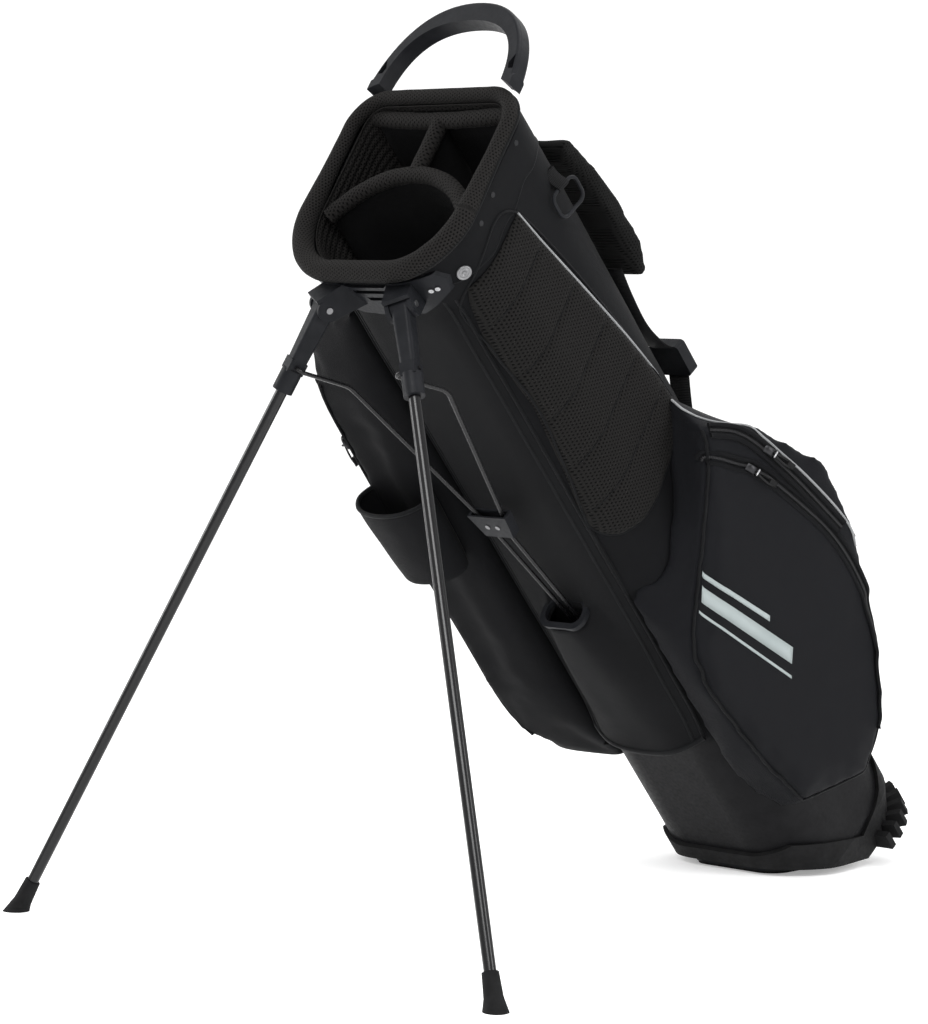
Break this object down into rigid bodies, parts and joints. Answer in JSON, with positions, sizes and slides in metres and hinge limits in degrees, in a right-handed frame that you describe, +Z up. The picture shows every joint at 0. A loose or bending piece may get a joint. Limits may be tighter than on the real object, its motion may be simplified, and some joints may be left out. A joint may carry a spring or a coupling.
{
  "type": "golf stand bag",
  "caption": "Leaning stand bag for golf clubs with padded divided mouth, swing-out legs on spring wires, hinged foot plate, side pockets and shoulder straps.",
  "frame": {"origin": "middle of the ground face of the foot plate, on the floor the bag stands on", "axes": "+Z up, -Y towards the deployed legs, +X towards the ball pocket side"},
  "size_m": [0.6668, 0.8586, 0.8525],
  "materials": {
    "black_fabric": "coated woven nylon, matt",
    "air_mesh": "spacer mesh with small holes",
    "webbing": "ribbed webbing",
    "moulded_plastic": "fine moulded grain",
    "rubber": "matt rubber",
    "black_aluminium": "gloss black anodised tube",
    "black_wire": "black coated spring steel",
    "steel": "plain steel",
    "silver": "bright plated",
    "stay_rod": "pultruded rod",
    "cord_pull": "black moulded cord pull"
  },
  "bodies": {
    "bag": {"apparel_pocket": "black_fabric", "bag_body": "black_fabric", "ball_pocket": "black_fabric", "base_boot": "moulded_plastic", "body_stays": "stay_rod", "bottle_sleeve": "black_fabric", "bracket_rivets": "silver", "club_floor": "moulded_plastic", "collar_cover": "black_fabric", "collar_rivets": "silver", "collar_screws": "silver", "divider_pad_back": "air_mesh", "divider_pad_centre": "air_mesh", "divider_pad_front": "air_mesh", "divider_sheet_back": "black_fabric", "divider_sheet_centre": "black_fabric", "divider_sheet_front": "black_fabric", "foot_plate_pin": "steel", "front_channel_cover": "black_fabric", "front_loop_tab": "black_fabric", "hinge_pin_left": "steel", "hinge_pin_right": "steel", "hip_pad": "air_mesh", "rim_pad": "air_mesh", "rod_guides": "moulded_plastic", "shoulder_pad_left": "air_mesh", "shoulder_pad_right": "air_mesh", "stand_bracket": "moulded_plastic", "strap_anchor": "moulded_plastic", "strap_buckle_left": "moulded_plastic", "strap_buckle_right": "moulded_plastic", "strap_webbing_left": "webbing", "strap_webbing_right": "webbing", "top_collar": "moulded_plastic", "top_handle": "moulded_plastic", "towel_ring_tab": "black_fabric", "tread_sole": "rubber", "wire_guide": "moulded_plastic"},
    "leg_right": {"leg_knuckle_right": "moulded_plastic", "leg_tube_right": "black_aluminium", "leg_foot_right": "rubber"},
    "leg_left": {"leg_knuckle_left": "moulded_plastic", "leg_tube_left": "black_aluminium", "leg_foot_left": "rubber"},
    "wire_right": {"stand_wire_right": "black_wire", "wire_clip": "moulded_plastic", "clip_rivets": "silver"},
    "wire_left": {"stand_wire_left": "black_wire"},
    "push_rod": {"push_rod": "steel"},
    "foot": {"foot_plate": "moulded_plastic", "foot_plate_tread": "rubber"},
    "ring": {"towel_ring": "steel"},
    "ball_slider": {"ball_zip_slider": "silver"},
    "ball_pull": {"ball_zip_pull": "cord_pull"},
    "upper_slider": {"upper_zip_slider": "silver"},
    "upper_pull": {"upper_zip_pull": "cord_pull"},
    "apparel_slider": {"apparel_zip_slider": "silver"},
    "apparel_pull": {"apparel_zip_pull": "cord_pull"}
  },
  "joints": [
    {"name": "leg_right_fold", "type": "hinge", "parent": "bag", "child": "leg_right", "pos_m": [0.0514, -0.55653, 0.57364], "axis": [0.8712, 0.3842, 0.3056], "range_deg": [0, 57]},
    {"name": "leg_left_fold", "type": "hinge", "parent": "bag", "child": "leg_left", "pos_m": [-0.0514, -0.55653, 0.57364], "axis": [0.8712, -0.3842, -0.3056], "range_deg": [0, 57]},
    {"name": "wire_right_swing", "type": "hinge", "parent": "leg_right", "child": "wire_right", "pos_m": [0.07693, -0.57096, 0.51902], "axis": [0.8596, 0.4274, 0.2801], "range_deg": [-65.5, 0]},
    {"name": "wire_left_swing", "type": "hinge", "parent": "leg_left", "child": "wire_left", "pos_m": [-0.07693, -0.57096, 0.51902], "axis": [0.8596, -0.4274, -0.2801], "range_deg": [-65.5, 0]},
    {"name": "push_rod_slide", "type": "slide", "parent": "bag", "child": "push_rod", "axis": [0, 0.6225, -0.7826], "range_m": [0, 0.038]},
    {"name": "foot_plate_hinge", "type": "hinge", "parent": "bag", "child": "foot", "pos_m": [0, 0.054, 0.0046], "axis": [1, 0, 0], "range_deg": [0, 38.5]},
    {"name": "towel_ring_swing", "type": "hinge", "parent": "bag", "child": "ring", "pos_m": [0.105, -0.40738, 0.68333], "axis": [0, 0.7826, 0.6225], "range_deg": [-100, 0]},
    {"name": "ball_zip_slide", "type": "slide", "parent": "bag", "child": "ball_slider", "axis": [0.1049, 0.8667, -0.4877], "range_m": [0, 0.12]},
    {"name": "ball_zip_pull_swing", "type": "hinge", "parent": "ball_slider", "child": "ball_pull", "pos_m": [0.16536, -0.20333, 0.41533], "axis": [0.2483, 0.452, 0.8568], "range_deg": [-120, 0]},
    {"name": "upper_zip_slide", "type": "slide", "parent": "bag", "child": "upper_slider", "axis": [0.1049, 0.8667, -0.4877], "range_m": [0, 0.12]},
    {"name": "upper_zip_pull_swing", "type": "hinge", "parent": "upper_slider", "child": "upper_pull", "pos_m": [0.17208, -0.1858, 0.43184], "axis": [0.2483, 0.452, 0.8568], "range_deg": [-120, 0]},
    {"name": "apparel_zip_slide", "type": "slide", "parent": "bag", "child": "apparel_slider", "axis": [0, 0.6225, -0.7826], "range_m": [0, 0.3]},
    {"name": "apparel_zip_pull_swing", "type": "hinge", "parent": "apparel_slider", "child": "apparel_pull", "pos_m": [-0.1744, -0.419, 0.4377], "axis": [0, -0.7826, -0.6225], "range_deg": [-120, 0]}
  ],
  "couplings": [
    {"joint": "leg_left_fold", "follows": "leg_right_fold", "ratio": 1},
    {"joint": "wire_right_swing", "follows": "leg_right_fold", "ratio": -1.149},
    {"joint": "wire_left_swing", "follows": "leg_right_fold", "ratio": -1.149},
    {"joint": "push_rod_slide", "follows": "leg_right_fold", "m_per_rad": 0.038196},
    {"joint": "foot_plate_hinge", "follows": "leg_right_fold", "ratio": 0.67544}
  ]
}
